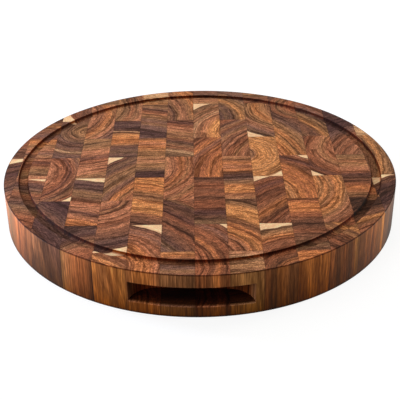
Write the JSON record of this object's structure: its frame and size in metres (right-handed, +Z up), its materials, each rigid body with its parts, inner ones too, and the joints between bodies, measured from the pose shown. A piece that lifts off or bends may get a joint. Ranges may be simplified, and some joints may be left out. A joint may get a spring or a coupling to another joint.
{
  "type": "round chopping block",
  "caption": "Thick round end-grain chopping block glued up from staggered wooden blocks, with a juice groove round the top and finger slots in the side wall.",
  "frame": {"origin": "centre of the round underside, on the surface the block stands on", "axes": "+Z up through the thickness, -Y towards the front finger slot, +X to the right seen from the front"},
  "size_m": [0.4, 0.4, 0.0445],
  "materials": {
    "amber_wood": "oiled satin",
    "orange_wood": "oiled satin",
    "salmon_wood": "oiled satin",
    "russet_wood": "oiled satin",
    "brown_wood": "oiled satin",
    "mauve_wood": "oiled satin",
    "plum_wood": "oiled satin",
    "olive_wood": "oiled satin"
  },
  "bodies": {
    "root": {"strip_01_block_1": "plum_wood", "strip_01_block_2": "mauve_wood", "strip_02_block_1": "mauve_wood", "strip_02_block_2": "russet_wood", "strip_02_block_3": "olive_wood", "strip_03_block_1": "plum_wood", "strip_03_block_2": "russet_wood", "strip_03_block_3": "mauve_wood", "strip_03_block_4": "brown_wood", "strip_04_block_1": "olive_wood", "strip_04_block_2": "mauve_wood", "strip_04_block_3": "russet_wood", "strip_04_block_4": "brown_wood", "strip_04_block_5": "olive_wood", "strip_05_block_1": "orange_wood", "strip_05_block_2": "russet_wood", "strip_05_block_3": "mauve_wood", "strip_05_block_4": "mauve_wood", "strip_05_block_5": "olive_wood", "strip_06_block_1": "salmon_wood", "strip_06_block_2": "amber_wood", "strip_06_block_3": "olive_wood", "strip_06_block_4": "mauve_wood", "strip_06_block_5": "amber_wood", "strip_07_block_1": "olive_wood", "strip_07_block_2": "plum_wood", "strip_07_block_3": "orange_wood", "strip_07_block_4": "brown_wood", "strip_07_block_5": "mauve_wood", "strip_08_block_1": "orange_wood", "strip_08_block_2": "brown_wood", "strip_08_block_3": "orange_wood", "strip_08_block_4": "salmon_wood", "strip_08_block_5": "olive_wood", "strip_09_block_1": "salmon_wood", "strip_09_block_2": "amber_wood", "strip_09_block_3": "russet_wood", "strip_09_block_4": "salmon_wood", "strip_09_block_5": "olive_wood", "strip_10_block_1": "olive_wood", "strip_10_block_2": "plum_wood", "strip_10_block_3": "amber_wood", "strip_10_block_4": "brown_wood", "strip_10_block_5": "russet_wood", "strip_11_block_1": "orange_wood", "strip_11_block_2": "orange_wood", "strip_11_block_3": "russet_wood", "strip_11_block_4": "orange_wood", "strip_11_block_5": "russet_wood", "strip_12_block_1": "russet_wood", "strip_12_block_2": "amber_wood", "strip_12_block_3": "russet_wood", "strip_12_block_4": "brown_wood", "strip_13_block_1": "brown_wood", "strip_13_block_2": "russet_wood", "strip_13_block_3": "mauve_wood", "strip_13_block_4": "brown_wood", "strip_14_block_1": "plum_wood", "strip_14_block_2": "olive_wood", "strip_14_block_3": "brown_wood"}
  },
  "joints": []
}
